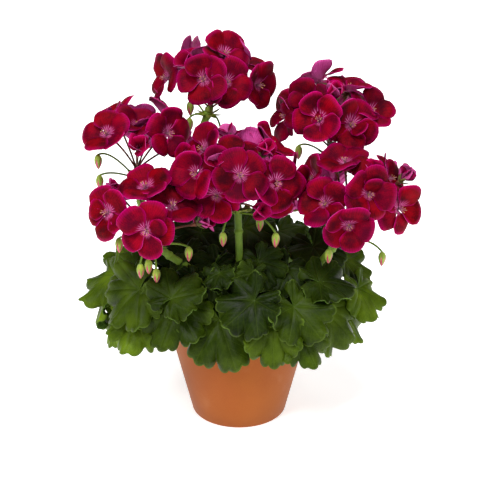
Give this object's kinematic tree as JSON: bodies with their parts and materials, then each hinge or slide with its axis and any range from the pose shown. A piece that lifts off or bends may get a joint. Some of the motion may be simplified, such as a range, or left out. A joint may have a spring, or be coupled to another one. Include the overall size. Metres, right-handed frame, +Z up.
{
  "type": "potted geranium",
  "caption": "Zonal geranium in full flower: rounded heads of deep crimson florets on upright stalks above a dome of scalloped green leaves, standing in a plain tapered terracotta pot.",
  "frame": {"origin": "centre of the pot's flat base, on the surface it stands on", "axes": "+Z up along the pot's axis, -Y towards the side of the plant that faces the viewer, +X to the viewer's right"},
  "size_m": [0.2927, 0.2366, 0.3517],
  "materials": {
    "terracotta": "matte",
    "potting_soil": "matte",
    "leaf": "satin",
    "flower_stalk": "matte",
    "petal": "matte"
  },
  "bodies": {
    "root": {"pot": "terracotta", "soil": "potting_soil", "leafy_shoot_front_left": "leaf", "leafy_shoot_front": "leaf", "leafy_shoot_front_right": "leaf", "leafy_shoot_right": "leaf", "leafy_shoot_back": "leaf", "leafy_shoot_back_left": "leaf", "leafy_shoot_left": "leaf", "flower_stalk_back_centre": "flower_stalk", "flower_stalk_left_upper": "flower_stalk", "flower_stalk_front_centre": "flower_stalk", "flower_stalk_left_lower": "flower_stalk", "flower_stalk_right_upper": "flower_stalk", "flower_stalk_right_lower": "flower_stalk", "bloom_back_centre": "petal", "bloom_left_upper": "petal", "bloom_front_centre": "petal", "bloom_left_lower": "petal", "bloom_right_upper": "petal", "bloom_right_lower": "petal"}
  },
  "joints": []
}
